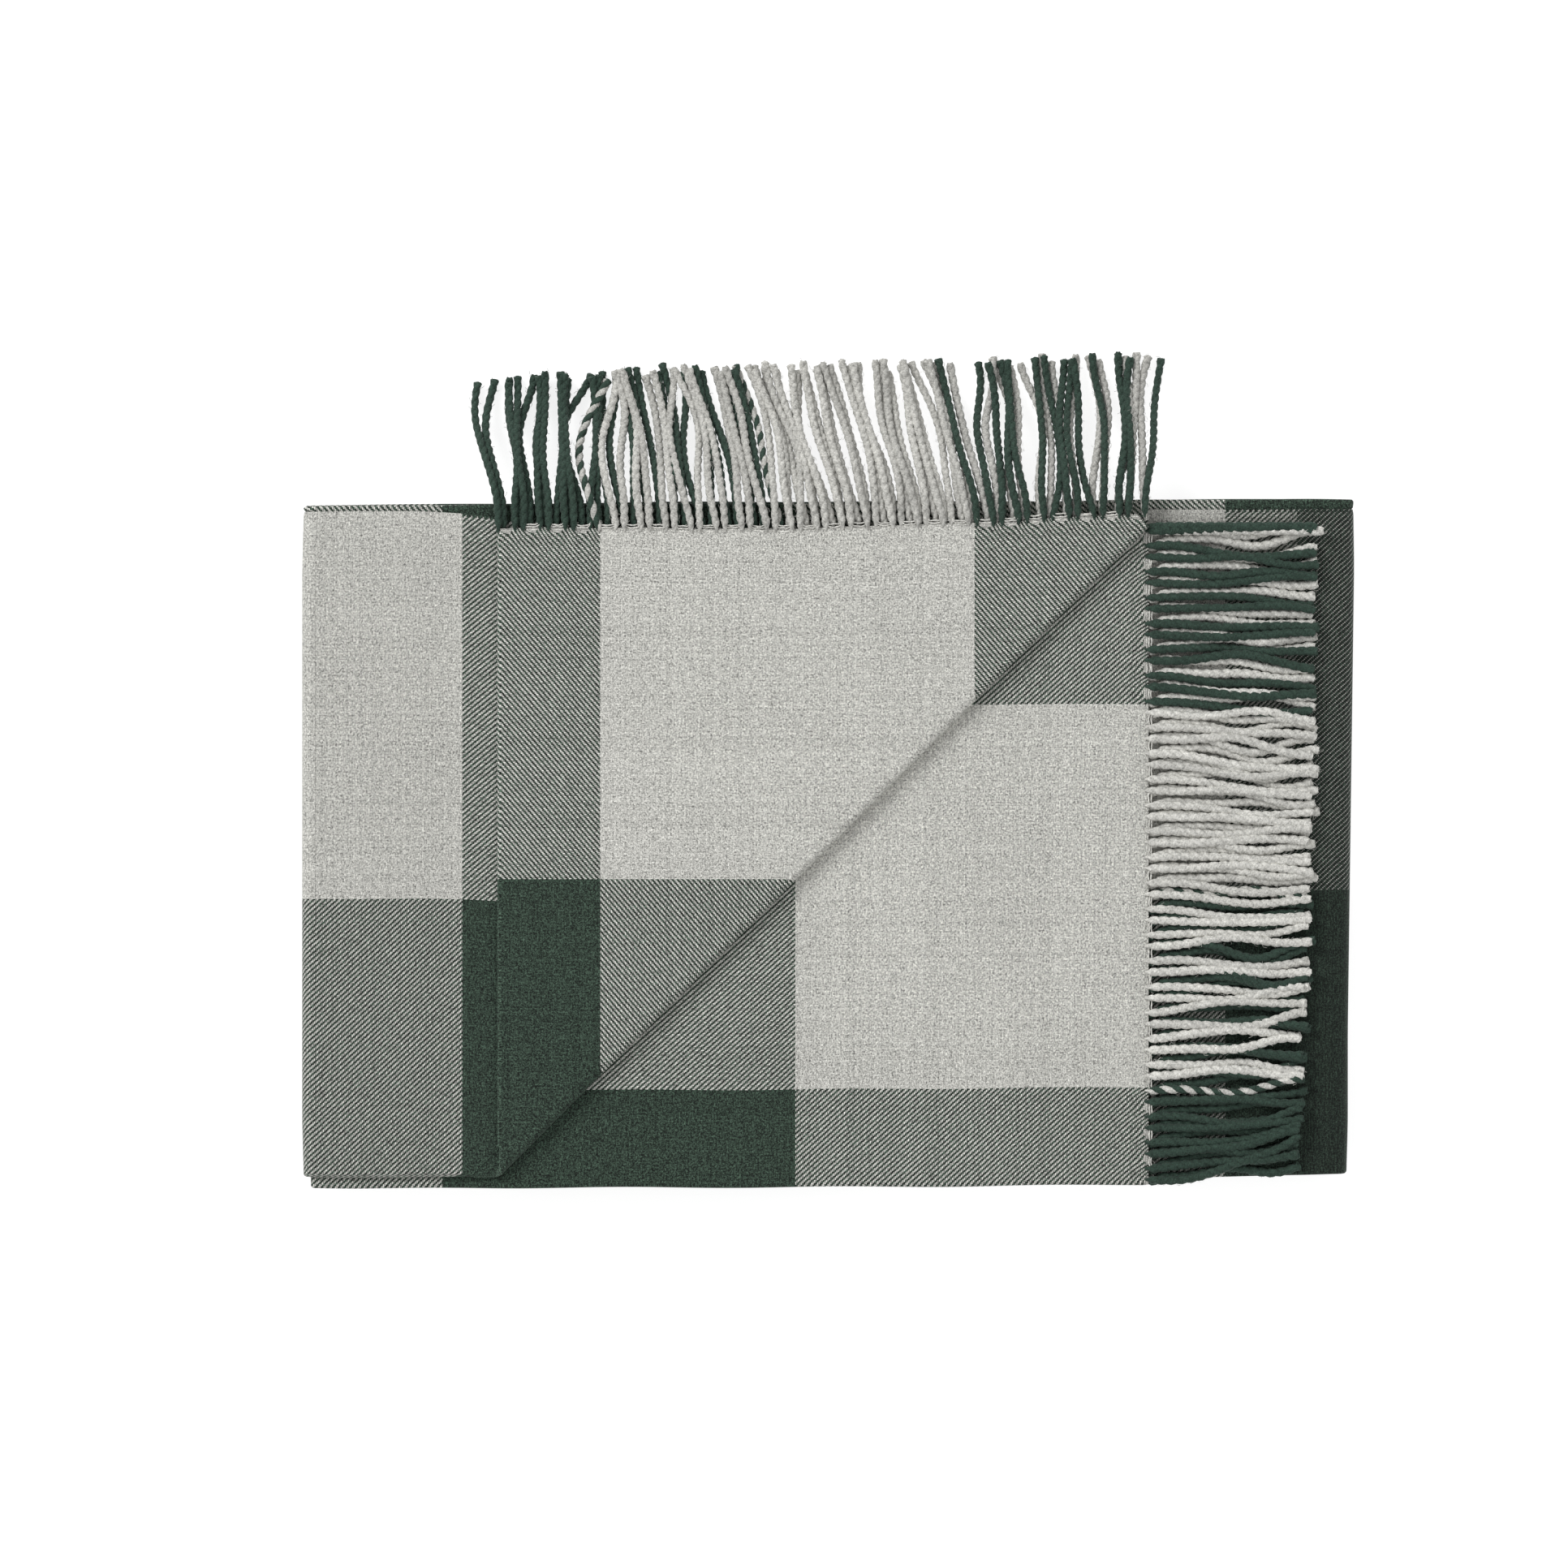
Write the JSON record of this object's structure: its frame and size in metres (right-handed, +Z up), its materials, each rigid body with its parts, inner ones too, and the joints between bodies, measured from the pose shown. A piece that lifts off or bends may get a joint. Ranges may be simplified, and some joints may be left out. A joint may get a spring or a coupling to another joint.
{
  "type": "folded throw blanket",
  "caption": "Checked twill throw blanket with twisted fringe, folded to a flat rectangular pile with one corner of its top plies turned back diagonally.",
  "frame": {"origin": "on the surface that the pile rests on, under the middle of the folded pile (fringe over the back not counted)", "axes": "+X along the pile's length, towards the end where the top panel's fringe lies; +Y across it, towards the side that the turned-back corner's fringe hangs over; +Z up"},
  "size_m": [0.508, 0.3952, 0.0319],
  "materials": {
    "woven_cloth": "matte",
    "fringe_yarn": "matte"
  },
  "bodies": {
    "base": {"bottom_fringe_ply_1": "fringe_yarn", "bottom_fringe_ply_2": "fringe_yarn", "bottom_fringe_ply_3": "fringe_yarn", "bottom_fringe_ply_4": "fringe_yarn", "bottom_panel_bend_1_2": "woven_cloth", "bottom_panel_bend_2_3": "woven_cloth", "bottom_panel_bend_3_4": "woven_cloth", "bottom_panel_ply_1": "woven_cloth", "bottom_panel_ply_2": "woven_cloth", "bottom_panel_ply_3": "woven_cloth", "bottom_panel_ply_4": "woven_cloth", "left_fold_lower_ply_1": "woven_cloth", "left_fold_lower_ply_2": "woven_cloth", "left_fold_lower_ply_3": "woven_cloth", "left_fold_lower_ply_4": "woven_cloth", "right_fold_ply_1": "woven_cloth", "right_fold_ply_2": "woven_cloth", "right_fold_ply_3": "woven_cloth", "right_fold_ply_4": "woven_cloth", "third_panel_bend_1_2": "woven_cloth", "third_panel_bend_2_3": "woven_cloth", "third_panel_bend_3_4": "woven_cloth", "third_panel_ply_1": "woven_cloth", "third_panel_ply_2": "woven_cloth", "third_panel_ply_3": "woven_cloth", "third_panel_ply_4": "woven_cloth"},
    "second_panel": {"left_fold_upper_ply_1": "woven_cloth", "left_fold_upper_ply_2": "woven_cloth", "left_fold_upper_ply_3": "woven_cloth", "left_fold_upper_ply_4": "woven_cloth", "second_panel_bend_1_2": "woven_cloth", "second_panel_bend_2_3": "woven_cloth", "second_panel_bend_3_4": "woven_cloth", "second_panel_ply_1": "woven_cloth", "second_panel_ply_2": "woven_cloth", "second_panel_ply_3": "woven_cloth", "second_panel_ply_4": "woven_cloth"},
    "top_panel": {"corner_crease_ply_1": "woven_cloth", "corner_crease_ply_2": "woven_cloth", "top_fringe_ply_3": "fringe_yarn", "top_fringe_ply_4": "fringe_yarn", "top_panel_bend_1_2": "woven_cloth", "top_panel_bend_2_3": "woven_cloth", "top_panel_bend_3_4": "woven_cloth", "top_panel_ply_1": "woven_cloth", "top_panel_ply_2": "woven_cloth", "top_panel_ply_3": "woven_cloth", "top_panel_ply_4": "woven_cloth"},
    "corner_flap": {"corner_flap_bend_1_2": "woven_cloth", "corner_flap_ply_1": "woven_cloth", "corner_flap_ply_2": "woven_cloth", "flap_fringe_ply_1": "fringe_yarn", "flap_fringe_ply_2": "fringe_yarn"}
  },
  "joints": [
    {"name": "second_panel_unfold", "type": "hinge", "parent": "base", "child": "second_panel", "pos_m": [0.24715, 0, 0.01385], "axis": [0, 1, 0], "range_deg": [0, 174], "deforming": ["right_fold_ply_1", "right_fold_ply_2", "right_fold_ply_3", "right_fold_ply_4"]},
    {"name": "top_panel_unfold", "type": "hinge", "parent": "second_panel", "child": "top_panel", "pos_m": [-0.24715, 0, 0.02085], "axis": [0, -1, 0], "range_deg": [0, 180], "deforming": ["left_fold_upper_ply_1", "left_fold_upper_ply_2", "left_fold_upper_ply_3", "left_fold_upper_ply_4"]},
    {"name": "corner_turn_back", "type": "hinge", "parent": "top_panel", "child": "corner_flap", "pos_m": [0.1539, 0.1527, 0.02785], "axis": [0.7071, 0.7071, 0], "range_deg": [0, 180], "deforming": ["corner_crease_ply_1", "corner_crease_ply_2"]}
  ]
}
